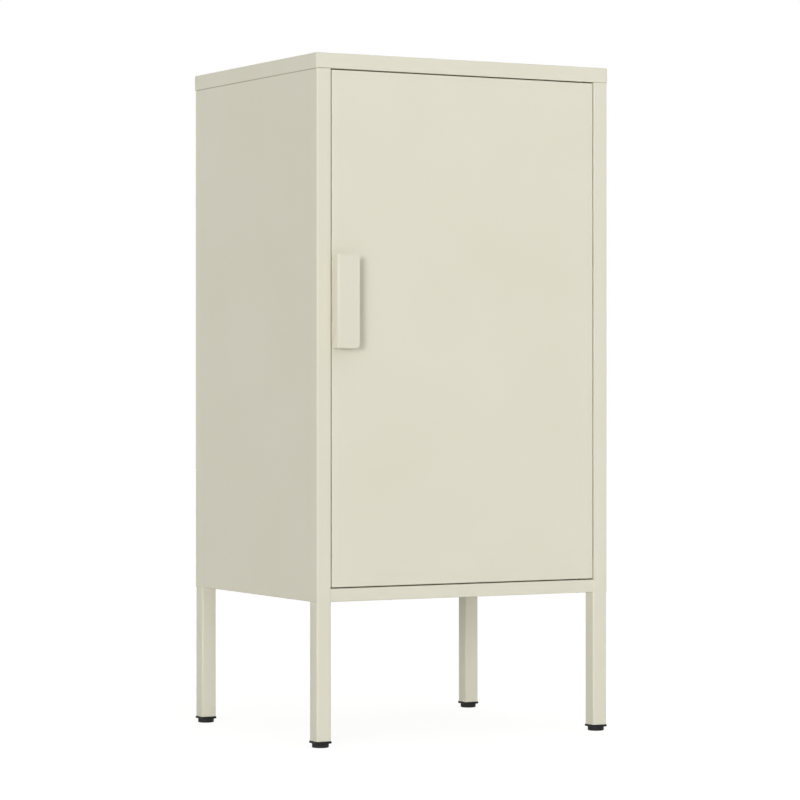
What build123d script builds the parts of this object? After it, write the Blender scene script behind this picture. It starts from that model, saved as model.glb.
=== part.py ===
from build123d import *
import os

# A freestanding sheet steel cabinet: one pivot-hung door, one loose shelf and four legs on screw feet.
# Millimetres. The front faces -Y, +X is to the right, and the feet stand on Z = 0.
# X and Y are zero at the middle of the whole object, its pull handle included.

# Overall size of the cabinet, without the pull handle
overall_width = 420.0
overall_depth = 350.0
overall_height = 850.0

# Sheet metal
sheet = 0.6
back_sheet = 0.6
bend_radius = 0.6
lap_clearance = 0.1
seam_clearance = 0.2
cut_overrun = 4.0
screw_clearance = 0.2
thread_clearance = 0.05
pivot_clearance = 0.05
touch_clearance = 0.3

# Top panel: a cap with skirts that lap the side panels, and a header fold over the door
cap_skirt_height = 19.0
header_depth = 32.0

# Side panels: wall, front stile, rear flange, and the returns that carry the shelf clips
stile_width = 19.7
front_return_depth = 38.0
rear_return_depth = 20.0
top_flange_width = 17.0

# Bottom panel: a tray whose front fold is the bottom rail
rail_height = 16.3
rail_return_depth = 20.0

# Door
door_gap = 1.5
door_depth = 18.0
door_return_width = 12.0
stiffener_sheet = 0.8
stiffener_depth = 13.0
stiffener_crown_width = 40.0
stiffener_brim_width = 14.0
stiffener_end_margin = 24.0

# Pivot hinge
pivot_inset = 14.0
pivot_setback = 6.0
pin_radius = 2.5
pin_head_radius = 4.0
pin_head_height = 1.6
pin_reach = 4.0
bush_wall = 0.8
bush_flange_radius = 4.3
bush_flange_thickness = 1.2
bush_tail = 1.0
thrust_clearance = 0.1

# Pull handle: a folded U with its open side to the right
handle_sheet = 1.5
handle_bend_radius = 1.5
handle_width = 30.4
handle_height = 114.0
handle_projection = 15.0
handle_foot_width = 23.0
handle_corner_radius = 5.0
handle_rise = 33.0
handle_screw_spacing = 64.0
handle_screw_inset = 13.0
handle_screw_radius = 2.0
handle_screw_head_radius = 3.8
handle_screw_head_height = 2.2
handle_screw_proud = 0.8

# Legs
leg_width = 20.0
leg_wall = 1.2
leg_corner_radius = 2.2
leg_length = 170.0
leg_inset = 0.3
leg_fit_clearance = 0.1
end_plate_thickness = 3.0
leg_stud_radius = 4.0
leg_stud_length = 12.0
leg_washer_width = 15.0
leg_washer_thickness = 2.0
leg_nut_flats = 13.0
leg_nut_height = 6.0

# Leg plugs and screw feet
plug_flange_width = 22.0
plug_flange_thickness = 3.0
plug_flange_corner_radius = 2.6
plug_body_height = 15.0
foot_radius = 10.4
foot_height = 5.0
foot_edge_radius = 1.1
foot_rim_chamfer = 0.4
foot_stud_radius = 4.0
foot_stud_length = 30.0

# Shelf and its clips
shelf_sheet = 0.8
shelf_setback = 26.0
shelf_back_gap = 2.0
shelf_side_gap = 1.5
shelf_flange_height = 20.0
clip_sheet = 1.5
clip_width = 6.0
clip_ledge_length = 10.0
clip_rib_height = 12.0
clip_hook_height = 5.0
clip_clearance = 0.1
slot_width = 6.4
slot_height = 8.0
slot_edge_distance = 6.5
rear_slot_edge_distance = 9.0
slot_pitch = 50.0
first_slot_height = 111.0

# Screws, studs and nuts of the panels
back_screw_radius = 1.9
back_screw_head_radius = 3.9
back_screw_head_height = 2.2
back_screw_length = 8.0
back_screw_edge_distance = 9.5
back_screw_end_margin = 60.0
back_screw_rows = 3
rail_screw_spacing = 220.0
top_stud_radius = 2.5
top_stud_length = 9.0
top_stud_edge_distance = 9.0
top_stud_end_margin = 60.0
top_nut_flats = 8.0
top_nut_height = 4.0

# Holes in the back panel for fixing the cabinet to a wall
wall_hole_radius = 3.0
wall_hole_spacing = 200.0
wall_hole_drop = 50.0

# Magnetic catch under the header fold, and the rubber stop in the floor
catch_inset = 60.0
catch_length = 34.0
catch_depth = 11.0
catch_height = 13.0
catch_wall = 1.6
catch_ear_length = 7.0
catch_ear_thickness = 3.0
catch_corner_radius = 1.0
pole_plate_thickness = 1.2
pole_plate_proud = 0.7
catch_screw_radius = 1.5
catch_screw_head_radius = 2.7
catch_screw_head_height = 1.8
catch_screw_length = 6.0
stop_radius = 4.0
stop_height = 8.0
stop_edge_chamfer = 1.0
stop_stem_radius = 2.4
stop_stem_length = 4.0
stop_inset = 60.0

# Places that follow from the sizes above
fold_radius = bend_radius + sheet
fold_stub = 2 * fold_radius
back_screw_proud = max(0, back_screw_head_height - sheet - lap_clearance)
total_depth = handle_projection + overall_depth + back_screw_proud
front_y = handle_projection - total_depth / 2
back_y = front_y + overall_depth
side_x = overall_width / 2 - sheet - lap_clearance
wall_inner_x = side_x - sheet
opening_x = side_x - stile_width
rear_flange_y = back_y - sheet - lap_clearance - back_sheet
rear_flange_inner_y = rear_flange_y - sheet
cap_bottom = overall_height - cap_skirt_height
cap_underside = overall_height - sheet
body_bottom = foot_height + plug_flange_thickness + leg_length
floor_top = body_bottom + rail_height
floor_underside = floor_top - sheet
door_half_width = opening_x - door_gap
door_bottom = floor_top + door_gap
door_top = cap_bottom - door_gap
door_back_y = front_y + door_depth
pivot_x = door_half_width - pivot_inset
pivot_y = front_y + pivot_setback
handle_left_x = -door_half_width
handle_middle_z = (door_bottom + door_top) / 2 + handle_rise
leg_x = side_x - leg_inset - leg_width / 2
leg_front_y = front_y + leg_inset + leg_width / 2
leg_back_y = rear_flange_y - leg_inset - leg_width / 2
leg_places = [(-leg_x, leg_front_y), (leg_x, leg_front_y), (-leg_x, leg_back_y), (leg_x, leg_back_y)]
leg_names = ["front_left", "front_right", "back_left", "back_right"]
tray_x = wall_inner_x - lap_clearance
tray_return_top = body_bottom + 2 * sheet
slot_rows = int((cap_bottom - floor_top - 2 * first_slot_height) // slot_pitch) + 1
shelf_row = slot_rows // 2
front_slot_y = front_y + front_return_depth - slot_edge_distance
rear_slot_y = rear_flange_y - rear_return_depth + rear_slot_edge_distance
clip_z = floor_top + first_slot_height + shelf_row * slot_pitch
shelf_underside = clip_z + clip_sheet


def box_between(low, high):
    """A block given by its lowest and highest corners."""
    low_corner = Vector(*low)
    high_corner = Vector(*high)
    size = high_corner - low_corner
    return Pos((low_corner + high_corner) / 2) * Box(size.X, size.Y, size.Z)


def upright_cylinder(x, y, low, high, radius):
    """A cylinder that stands at x, y between two heights."""
    return Pos(x, y, (low + high) / 2) * Cylinder(radius, high - low)


def level_cylinder(x, z, low, high, radius):
    """A cylinder that lies along Y at x, z between two depths."""
    return Pos(x, (low + high) / 2, z) * Rot(90, 0, 0) * Cylinder(radius, high - low)


def folded(plane, middle_points, thickness, inner_radius, length):
    """A sheet bent along its middle line on a plane, run out along the plane's normal."""
    middle_line = FilletPolyline(*middle_points, radius=inner_radius + thickness / 2)
    section = plane * trace(middle_line, line_width=thickness)
    return extrude(section, amount=length)


def folded_along_x(points, thickness, low, high):
    """A folded sheet whose section, in Y and Z, runs along X."""
    return folded(Plane.YZ.offset(low), points, thickness, bend_radius, high - low)


def folded_along_y(points, thickness, low, high):
    """A folded sheet whose section, in X and Z, runs along Y."""
    return folded(Plane.XZ.offset(-high), points, thickness, bend_radius, high - low)


def rounded_block(low, high, radius):
    """A block with round upright edges and a round upper rim."""
    block = box_between(low, high)
    block = fillet(block.edges().filter_by(Axis.Z), radius)
    return fillet(block.faces().sort_by(Axis.Z)[-1].edges(), radius)


def open_tray(low, high):
    """A sheet tray that is open below, with its corners welded and ground round."""
    outer = rounded_block(low, high, fold_radius)
    inner_low = (low[0] + sheet, low[1] + sheet, low[2] - cut_overrun)
    inner_high = (high[0] - sheet, high[1] - sheet, high[2] - sheet)
    return outer - rounded_block(inner_low, inner_high, bend_radius)


def hex_nut(x, y, low, flats, height, bore_radius):
    """A hexagon nut that sits at x, y on the height given by low."""
    blank = extrude(RegularPolygon(flats / 2, 6, major_radius=False), amount=height)
    return Pos(x, y, low) * blank - upright_cylinder(x, y, low - height, low + 2 * height, bore_radius)


def pan_screw(shank_radius, shank_length, head_radius, head_height):
    """A pan head screw about Z: the shank runs down from zero and the head stands above it."""
    profile = Polyline(
        (0, head_height),
        (head_radius / 2, head_height),
        (head_radius, head_height / 2),
        (head_radius, 0),
        (shank_radius, 0),
        (shank_radius, -shank_length),
        (0, -shank_length),
        (0, head_height),
    )
    return revolve(Plane.XZ * make_face(profile), Axis.Z)


def clip_slots():
    """Cutting blocks for every shelf clip slot in the returns of the right side panel."""
    cutters = []
    for row in range(slot_rows):
        low_z = floor_top + first_slot_height + row * slot_pitch - clip_clearance
        for slot_y in (front_slot_y, rear_slot_y):
            low = (opening_x - cut_overrun, slot_y - slot_width / 2, low_z)
            high = (opening_x + cut_overrun, slot_y + slot_width / 2, low_z + slot_height)
            cutters.append(box_between(low, high))
    return cutters


def back_screw_places():
    """X and Z of every screw that holds the back panel: two rows to the sides, one to the bottom panel."""
    lowest = body_bottom + back_screw_end_margin
    step = (cap_bottom - back_screw_end_margin - lowest) / (back_screw_rows - 1)
    side_places = [
        (side * (side_x - back_screw_edge_distance), lowest + row * step)
        for side in (-1, 1)
        for row in range(back_screw_rows)
    ]
    rail_height_middle = (body_bottom + floor_top) / 2
    return side_places + [(side * rail_screw_spacing / 2, rail_height_middle) for side in (-1, 1)]


def back_screw_holes(radius):
    """Cutting cylinders through the back for its screws."""
    return [
        level_cylinder(x, z, rear_flange_y - cut_overrun, back_y + cut_overrun, radius)
        for x, z in back_screw_places()
    ]


def top_stud_places():
    """X and Y of the four studs that hold the top panel down."""
    first = front_y + top_stud_end_margin
    last = rear_flange_y - top_stud_end_margin
    return [(side * (side_x - top_stud_edge_distance), y) for side in (-1, 1) for y in (first, last)]


def make_top_panel():
    """The cap: top plate and skirts in one, the header fold behind the front skirt."""
    low = (-overall_width / 2, front_y, cap_bottom)
    high = (overall_width / 2, back_y, overall_height)
    cap = open_tray(low, high)
    fold_low = (-tray_x, front_y - cut_overrun, cap_bottom - cut_overrun)
    fold_high = (tray_x, front_y + fold_stub, cap_bottom + fold_stub)
    cap -= box_between(fold_low, fold_high)
    header_line = [
        (front_y + sheet / 2, cap_bottom + fold_stub),
        (front_y + sheet / 2, cap_bottom + sheet / 2),
        (front_y + header_depth, cap_bottom + sheet / 2),
    ]
    cap += folded_along_x(header_line, sheet, -tray_x, tray_x)
    cap -= upright_cylinder(
        pivot_x,
        pivot_y,
        cap_bottom - cut_overrun,
        cap_bottom + cut_overrun,
        pin_radius + pivot_clearance + bush_wall + lap_clearance,
    )
    for x in catch_screw_places():
        cap -= upright_cylinder(
            x,
            catch_middle_y(),
            cap_bottom - cut_overrun,
            cap_bottom + cut_overrun,
            catch_screw_radius + thread_clearance,
        )
    return cap


def make_right_side_panel():
    """Wall, stile, rear flange and returns from one sheet, folded in at the top and bottom as well."""
    return_x = opening_x + sheet / 2
    wall_x = side_x - sheet / 2
    plan_line = [
        (return_x, front_y + front_return_depth),
        (return_x, front_y + sheet / 2),
        (wall_x, front_y + sheet / 2),
        (wall_x, rear_flange_y - sheet / 2),
        (return_x, rear_flange_y - sheet / 2),
        (return_x, rear_flange_y - rear_return_depth),
    ]
    panel = folded(Plane.XY.offset(body_bottom), plan_line, sheet, bend_radius, cap_underside - body_bottom)

    # The stile stops below the cap, so that the cap's front skirt lies in its plane
    stile_top = cap_bottom - seam_clearance
    corner_y = front_y + fold_radius + seam_clearance
    above_low = (opening_x - cut_overrun, front_y - cut_overrun, stile_top)
    panel -= box_between(above_low, (side_x + cut_overrun, corner_y, overall_height))
    header_end = front_y + front_return_depth + cut_overrun
    panel -= box_between(above_low, (wall_inner_x - bend_radius, header_end, overall_height))
    panel -= box_between(
        (opening_x - cut_overrun, front_y - cut_overrun, cap_underside - fold_radius),
        (side_x + cut_overrun, back_y, overall_height),
    )

    # The returns stop above the bottom panel, which runs through under them
    returns_end = floor_top + seam_clearance
    pocket_x = wall_inner_x - bend_radius
    panel -= box_between(
        (opening_x - cut_overrun, front_y + sheet, body_bottom - cut_overrun),
        (pocket_x, front_y + front_return_depth + cut_overrun, returns_end),
    )
    panel -= box_between(
        (opening_x - cut_overrun, rear_flange_y - rear_return_depth - cut_overrun, body_bottom - cut_overrun),
        (pocket_x, rear_flange_inner_y, returns_end),
    )

    # Top and bottom flanges, folded in between the corner reliefs
    flange_back_y = rear_flange_inner_y - bend_radius - seam_clearance
    top_front_y = front_y + header_depth + cut_overrun
    panel -= box_between(
        (wall_inner_x - cut_overrun, top_front_y, cap_underside - fold_stub),
        (side_x + cut_overrun, flange_back_y, overall_height),
    )
    top_line = [
        (wall_x, cap_underside - fold_stub),
        (wall_x, cap_underside - sheet / 2),
        (side_x - top_flange_width, cap_underside - sheet / 2),
    ]
    panel += folded_along_y(top_line, sheet, top_front_y, flange_back_y)
    bottom_front_y = front_y + sheet + fold_radius + 2 * seam_clearance
    bottom_back_y = rear_flange_inner_y - fold_radius - 2 * seam_clearance
    panel -= box_between(
        (wall_inner_x - cut_overrun, bottom_front_y, body_bottom - cut_overrun),
        (side_x + cut_overrun, bottom_back_y, body_bottom + fold_stub),
    )
    bottom_line = [
        (wall_x, body_bottom + fold_stub),
        (wall_x, body_bottom + sheet / 2),
        (opening_x, body_bottom + sheet / 2),
    ]
    panel += folded_along_y(bottom_line, sheet, bottom_front_y, bottom_back_y)

    for cutter in clip_slots() + back_screw_holes(back_screw_radius + thread_clearance):
        panel -= cutter
    for x, y in leg_places:
        panel -= upright_cylinder(
            x, y, body_bottom - cut_overrun, body_bottom + cut_overrun, leg_stud_radius + screw_clearance
        )
    for x, y in top_stud_places():
        panel -= upright_cylinder(
            x, y, cap_underside - cut_overrun, overall_height, top_stud_radius + screw_clearance
        )
    return panel


def make_back_panel():
    """A flat sheet over the rear flanges, with its screw holes and two holes for a wall fixing."""
    half_width = side_x - fold_radius
    low = (-half_width, rear_flange_y, body_bottom + seam_clearance)
    high = (half_width, rear_flange_y + back_sheet, cap_underside - fold_radius)
    panel = box_between(low, high)
    for cutter in back_screw_holes(back_screw_radius + screw_clearance):
        panel -= cutter
    for side in (-1, 1):
        panel -= level_cylinder(
            side * wall_hole_spacing / 2,
            overall_height - wall_hole_drop,
            rear_flange_y - cut_overrun,
            back_y + cut_overrun,
            wall_hole_radius,
        )
    return panel


def make_bottom_panel():
    """The floor tray: its front fold shows as the bottom rail, its side returns carry the legs."""
    tray_front_y = front_y + sheet
    panel = open_tray((-tray_x, tray_front_y, body_bottom), (tray_x, rear_flange_inner_y, floor_top))
    return_front_y = tray_front_y + fold_radius + seam_clearance
    return_back_y = rear_flange_inner_y - fold_radius - seam_clearance
    for side in (-1, 1):
        near = side * (tray_x - sheet - cut_overrun)
        far = side * (tray_x + cut_overrun)
        panel -= box_between(
            (min(near, far), return_front_y, body_bottom - cut_overrun),
            (max(near, far), return_back_y, body_bottom + sheet + fold_stub),
        )
        side_line = [
            (side * (tray_x - sheet / 2), body_bottom + sheet + fold_stub),
            (side * (tray_x - sheet / 2), body_bottom + sheet * 3 / 2),
            (side * opening_x, body_bottom + sheet * 3 / 2),
        ]
        panel += folded_along_y(side_line, sheet, return_front_y, return_back_y)
    rail_half_width = opening_x - seam_clearance
    panel -= box_between(
        (-rail_half_width, tray_front_y - cut_overrun, body_bottom - cut_overrun),
        (rail_half_width, tray_front_y + fold_stub, body_bottom + fold_stub),
    )
    rail_line = [
        (tray_front_y + sheet / 2, body_bottom + fold_stub),
        (tray_front_y + sheet / 2, body_bottom + sheet / 2),
        (tray_front_y + rail_return_depth, body_bottom + sheet / 2),
    ]
    panel += folded_along_x(rail_line, sheet, -rail_half_width, rail_half_width)
    panel -= upright_cylinder(
        pivot_x,
        pivot_y,
        floor_underside - cut_overrun,
        floor_top + cut_overrun,
        pin_radius + pivot_clearance + bush_wall + lap_clearance,
    )
    panel -= upright_cylinder(
        stop_inset - door_half_width,
        stop_middle_y(),
        floor_underside - cut_overrun,
        floor_top + cut_overrun,
        stop_stem_radius + thread_clearance,
    )
    for x, y in leg_places:
        panel -= upright_cylinder(
            x, y, body_bottom - cut_overrun, body_bottom + cut_overrun, leg_stud_radius + screw_clearance
        )
    for cutter in back_screw_holes(back_screw_radius + thread_clearance):
        panel -= cutter
    return panel


def make_door_panel():
    """A pan folded back on all four sides, with returns that close its rim."""
    low = (-door_half_width, front_y, door_bottom)
    high = (door_half_width, door_back_y, door_top)
    pan = box_between(low, high)
    pan = fillet(pan.edges(), fold_radius)
    hollow = box_between([value + sheet for value in low], [value - sheet for value in high])
    pan -= fillet(hollow.edges(), bend_radius)
    window_x = door_half_width - door_return_width
    pan -= box_between(
        (-window_x, door_back_y - sheet - bend_radius, door_bottom + door_return_width),
        (window_x, door_back_y + cut_overrun, door_top - door_return_width),
    )
    for low_z, high_z in ((door_bottom - cut_overrun, door_bottom + sheet + bend_radius),
                          (door_top - sheet - bend_radius, door_top + cut_overrun)):
        pan -= upright_cylinder(pivot_x, pivot_y, low_z, high_z, pin_radius + thread_clearance)
    for z in handle_screw_heights():
        pan -= level_cylinder(
            handle_left_x + handle_screw_inset,
            z,
            front_y - cut_overrun,
            front_y + cut_overrun,
            handle_screw_radius + screw_clearance,
        )
    return pan


def make_door_stiffener():
    """A hat channel that stands up the middle of the door, its brims against the skin."""
    skin_y = front_y + sheet
    brim_y = skin_y + stiffener_sheet / 2
    crown_y = skin_y + stiffener_depth - stiffener_sheet / 2
    crown_x = stiffener_crown_width / 2
    brim_x = crown_x + stiffener_brim_width
    hat_line = [(-brim_x, brim_y), (-crown_x, brim_y), (-crown_x, crown_y),
                (crown_x, crown_y), (crown_x, brim_y), (brim_x, brim_y)]
    low_z = door_bottom + stiffener_end_margin
    length = door_top - stiffener_end_margin - low_z
    return folded(Plane.XY.offset(low_z), hat_line, stiffener_sheet, bend_radius, length)


def make_pivot_pin(rim_z, outward):
    """A headed pin welded in the door's rim: outward is 1 for the upper pin and -1 for the lower."""
    inner_face = rim_z - outward * sheet
    head_end = inner_face - outward * pin_head_height
    tip = rim_z + outward * (door_gap + sheet + pin_reach)
    shank = upright_cylinder(pivot_x, pivot_y, min(inner_face, tip), max(inner_face, tip), pin_radius)
    shank = chamfer(shank.edges().sort_by(Axis.Z)[-1 if outward > 0 else 0], pin_radius / 4)
    head = upright_cylinder(
        pivot_x, pivot_y, min(inner_face, head_end), max(inner_face, head_end), pin_head_radius
    )
    return shank + head


def make_bush(flange_low, flange_thickness, sleeve_low, sleeve_high):
    """A flanged nylon bush round a pivot pin."""
    bore_radius = pin_radius + pivot_clearance
    flange = upright_cylinder(
        pivot_x, pivot_y, flange_low, flange_low + flange_thickness, bush_flange_radius
    )
    sleeve = upright_cylinder(pivot_x, pivot_y, sleeve_low, sleeve_high, bore_radius + bush_wall)
    bore = upright_cylinder(
        pivot_x, pivot_y, sleeve_low - cut_overrun, sleeve_high + cut_overrun, bore_radius
    )
    return flange + sleeve - bore


def make_upper_bush():
    """Dropped into the header fold from above."""
    flange_low = cap_bottom + sheet
    return make_bush(flange_low, bush_flange_thickness, cap_bottom, flange_low + bush_flange_thickness)


def make_lower_bush():
    """Pressed into the floor, its flange the washer that the door turns on."""
    flange_thickness = door_gap - thrust_clearance
    sleeve_low = floor_underside - bush_tail
    return make_bush(floor_top, flange_thickness, sleeve_low, floor_top + flange_thickness)


def handle_screw_heights():
    """Heights of the two screws of the pull handle."""
    return [handle_middle_z + side * handle_screw_spacing / 2 for side in (-1, 1)]


def make_pull_handle():
    """Foot on the door, web at the door's edge and grip plate in front, folded from one strip."""
    foot_y = front_y - handle_sheet / 2
    grip_y = front_y - handle_projection + handle_sheet / 2
    web_x = handle_left_x + handle_sheet / 2
    section_line = [
        (handle_left_x + handle_foot_width, foot_y),
        (web_x, foot_y),
        (web_x, grip_y),
        (handle_left_x + handle_width, grip_y),
    ]
    low_z = handle_middle_z - handle_height / 2
    pull = folded(Plane.XY.offset(low_z), section_line, handle_sheet, handle_bend_radius, handle_height)
    corner_edges = pull.edges().filter_by(Axis.Y).group_by(Axis.X)
    pull = fillet(corner_edges[-1] + corner_edges[-2], handle_corner_radius)
    for z in handle_screw_heights():
        pull -= level_cylinder(
            handle_left_x + handle_screw_inset,
            z,
            front_y - handle_sheet - cut_overrun,
            front_y + cut_overrun,
            handle_screw_radius + thread_clearance,
        )
    return pull


def make_handle_screws():
    """Pan head screws from inside the door into the foot of the handle."""
    length = sheet + handle_sheet + handle_screw_proud
    screw = pan_screw(handle_screw_radius, length, handle_screw_head_radius, handle_screw_head_height)
    return [
        Pos(handle_left_x + handle_screw_inset, front_y + sheet, z) * Rot(-90, 0, 0) * screw
        for z in handle_screw_heights()
    ]


def make_leg(x, y):
    """A square steel tube."""
    low_z = body_bottom - leg_length
    inner_width = leg_width - 2 * leg_wall
    section = RectangleRounded(leg_width, leg_width, leg_corner_radius)
    section -= RectangleRounded(inner_width, inner_width, leg_corner_radius - leg_wall)
    return Pos(x, y, low_z) * extrude(section, amount=leg_length)


def square_in_leg(x, y, low, high):
    """A square block that fills a leg tube with its fitting clearance."""
    half_width = leg_width / 2 - leg_wall - leg_fit_clearance
    block = box_between((x - half_width, y - half_width, low), (x + half_width, y + half_width, high))
    return chamfer(block.edges().filter_by(Axis.Z), leg_corner_radius - leg_wall)


def make_leg_end_plate(x, y):
    """The plate welded in the top of a leg, bored for its stud."""
    plate = square_in_leg(x, y, body_bottom - end_plate_thickness, body_bottom)
    bore_low = body_bottom - end_plate_thickness - cut_overrun
    return plate - upright_cylinder(x, y, bore_low, body_bottom + cut_overrun, leg_stud_radius)


def make_leg_stud(x, y):
    """The stud that stands on a leg's end plate."""
    top = body_bottom + leg_stud_length
    stud = upright_cylinder(x, y, body_bottom - end_plate_thickness, top, leg_stud_radius)
    return chamfer(stud.edges().sort_by(Axis.Z)[-1], leg_stud_radius / 5)


def make_leg_washer(x, y):
    """A square washer that spreads the nut's load over the panel returns."""
    half_width = leg_washer_width / 2
    low = (x - half_width, y - half_width, tray_return_top)
    high = (x + half_width, y + half_width, tray_return_top + leg_washer_thickness)
    bore = upright_cylinder(x, y, low[2] - cut_overrun, high[2] + cut_overrun, leg_stud_radius + screw_clearance)
    return box_between(low, high) - bore


def make_leg_nut(x, y):
    """The nut that draws a leg up against the cabinet."""
    seat = tray_return_top + leg_washer_thickness
    return hex_nut(x, y, seat, leg_nut_flats, leg_nut_height, leg_stud_radius + thread_clearance)


def make_leg_plug(x, y):
    """A plug with a square flange under the tube's end and a threaded bore for the foot."""
    flange_low = foot_height
    flange_high = foot_height + plug_flange_thickness
    flange = extrude(
        RectangleRounded(plug_flange_width, plug_flange_width, plug_flange_corner_radius),
        amount=plug_flange_thickness,
    )
    body = square_in_leg(x, y, flange_high, flange_high + plug_body_height)
    bore = upright_cylinder(
        x,
        y,
        flange_low - cut_overrun,
        flange_high + plug_body_height + cut_overrun,
        foot_stud_radius + thread_clearance,
    )
    return Pos(x, y, flange_low) * flange + body - bore


def make_foot(x, y):
    """A round foot turned in one with its stud, which screws up into the plug."""
    outline = Polyline(
        (0, 0),
        (foot_radius, 0),
        (foot_radius, foot_height - foot_rim_chamfer),
        (foot_radius - foot_rim_chamfer, foot_height),
        (foot_stud_radius, foot_height),
        (foot_stud_radius, foot_height + foot_stud_length - foot_stud_radius / 5),
        (foot_stud_radius * 4 / 5, foot_height + foot_stud_length),
        (0, foot_height + foot_stud_length),
        (0, 0),
    )
    foot = revolve(Plane.XZ * make_face(outline), Axis.Z)
    lower_rim = foot.edges().filter_by(GeomType.CIRCLE).group_by(Axis.Z)[0]
    foot = fillet(lower_rim, foot_edge_radius)
    return Pos(x, y, 0) * foot


def make_shelf():
    """A shelf folded down on all sides, notched at its corners round the returns."""
    top_z = shelf_underside + shelf_sheet
    middle_z = top_z - shelf_sheet / 2
    flange_end_z = top_z - shelf_flange_height
    front_edge = front_y + shelf_setback
    back_edge = rear_flange_y - shelf_back_gap
    half_width = opening_x - shelf_side_gap
    wing_half_width = wall_inner_x - shelf_side_gap
    wing_front = front_y + front_return_depth + shelf_side_gap
    wing_back = rear_flange_y - rear_return_depth - shelf_side_gap
    shelf = box_between(
        (-half_width, front_edge + fold_stub, shelf_underside), (half_width, back_edge - fold_stub, top_z)
    )
    inner_wing = wing_half_width - fold_stub
    shelf += box_between((-inner_wing, wing_front, shelf_underside), (inner_wing, wing_back, top_z))
    for edge, inward in ((front_edge, 1), (back_edge, -1)):
        flange_line = [
            (edge + inward * shelf_sheet / 2, flange_end_z),
            (edge + inward * shelf_sheet / 2, middle_z),
            (edge + inward * fold_stub, middle_z),
        ]
        shelf += folded_along_x(flange_line, shelf_sheet, -half_width, half_width)
    for side in (-1, 1):
        flange_line = [
            (side * (wing_half_width - shelf_sheet / 2), flange_end_z),
            (side * (wing_half_width - shelf_sheet / 2), middle_z),
            (side * inner_wing, middle_z),
        ]
        shelf += folded_along_y(flange_line, shelf_sheet, wing_front, wing_back)
    return shelf


def make_right_clip(slot_y):
    """A shelf clip in the right side panel: hook behind the return, ledge and rib in front of it."""
    hook_x = opening_x + sheet + clip_clearance + clip_sheet / 2
    clip_line = [
        (opening_x - clip_ledge_length, clip_z + clip_sheet / 2),
        (hook_x, clip_z + clip_sheet / 2),
        (hook_x, clip_z + clip_sheet + clip_hook_height),
    ]
    clip = folded(Plane.XZ.offset(-slot_y - clip_width / 2), clip_line, clip_sheet, bend_radius, clip_width)
    rib_outline = Polyline(
        (opening_x, clip_z),
        (opening_x - clip_ledge_length + clip_sheet, clip_z),
        (opening_x, clip_z - clip_rib_height),
        (opening_x, clip_z),
    )
    rib_plane = Plane.XZ.offset(-slot_y - clip_sheet / 2)
    return clip + extrude(rib_plane * make_face(rib_outline), amount=clip_sheet)


def make_shelf_clips():
    """Four clips, two for each side panel."""
    right_clips = [make_right_clip(slot_y) for slot_y in (front_slot_y, rear_slot_y)]
    return right_clips + [mirror(clip, Plane.YZ) for clip in right_clips]


def make_back_screws():
    """Pan head screws through the back panel."""
    screw = pan_screw(back_screw_radius, back_screw_length, back_screw_head_radius, back_screw_head_height)
    return [
        Pos(x, rear_flange_y + back_sheet, z) * Rot(-90, 0, 0) * screw for x, z in back_screw_places()
    ]


def make_top_studs():
    """Studs welded under the top plate."""
    low_z = cap_underside - top_stud_length
    return [upright_cylinder(x, y, low_z, cap_underside, top_stud_radius) for x, y in top_stud_places()]


def make_top_nuts():
    """Nuts under the top flanges of the side panels."""
    low_z = cap_underside - sheet - top_nut_height
    bore_radius = top_stud_radius + thread_clearance
    return [hex_nut(x, y, low_z, top_nut_flats, top_nut_height, bore_radius) for x, y in top_stud_places()]


def catch_middle_x():
    """The catch sits near the door's free edge."""
    return catch_inset - door_half_width


def catch_front_y():
    """Front of the catch's case; its pole plates stand out from it to the door."""
    return door_back_y + touch_clearance + pole_plate_proud


def catch_middle_y():
    """Middle of the catch's case from front to back."""
    return catch_front_y() + catch_depth / 2


def catch_screw_places():
    """X of the two catch screws, one in each ear."""
    reach = (catch_length + catch_ear_length) / 2
    return [catch_middle_x() + side * reach for side in (-1, 1)]


def make_catch_case():
    """The catch's moulded case with an ear at each end and a pocket for the magnet."""
    half_length = catch_length / 2
    low = (catch_middle_x() - half_length, catch_front_y(), cap_bottom - catch_height)
    high = (catch_middle_x() + half_length, catch_front_y() + catch_depth, cap_bottom)
    case = box_between(low, high)
    case = fillet(case.edges().filter_by(Axis.Y).group_by(Axis.Z)[0], catch_corner_radius)
    ear_reach = half_length + catch_ear_length
    case += box_between(
        (catch_middle_x() - ear_reach, low[1], cap_bottom - catch_ear_thickness),
        (catch_middle_x() + ear_reach, high[1], cap_bottom),
    )
    case -= box_between(
        (low[0] + catch_wall, low[1] - cut_overrun, low[2] + catch_wall),
        (high[0] - catch_wall, high[1] - catch_wall, high[2] - catch_wall),
    )
    for x in catch_screw_places():
        case -= upright_cylinder(
            x, catch_middle_y(), cap_bottom - catch_height, cap_bottom + cut_overrun,
            catch_screw_radius + screw_clearance,
        )
    return case


def catch_pocket():
    """Lowest and highest corners of what fills the catch's pocket, its fitting clearance taken off."""
    half_length = catch_length / 2 - catch_wall - lap_clearance
    low = (catch_middle_x() - half_length, catch_front_y(), cap_bottom - catch_height + catch_wall + lap_clearance)
    back = catch_front_y() + catch_depth - catch_wall - lap_clearance
    return low, (catch_middle_x() + half_length, back, cap_bottom - catch_wall - lap_clearance)


def make_pole_plates():
    """Two steel plates, above and below the magnet, that reach out to the door."""
    low, high = catch_pocket()
    front = low[1] - pole_plate_proud
    return [
        box_between((low[0], front, low[2]), (high[0], high[1], low[2] + pole_plate_thickness)),
        box_between((low[0], front, high[2] - pole_plate_thickness), high),
    ]


def make_magnet():
    """The magnet block between the pole plates."""
    low, high = catch_pocket()
    return box_between(
        (low[0], low[1], low[2] + pole_plate_thickness), (high[0], high[1], high[2] - pole_plate_thickness)
    )


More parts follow.
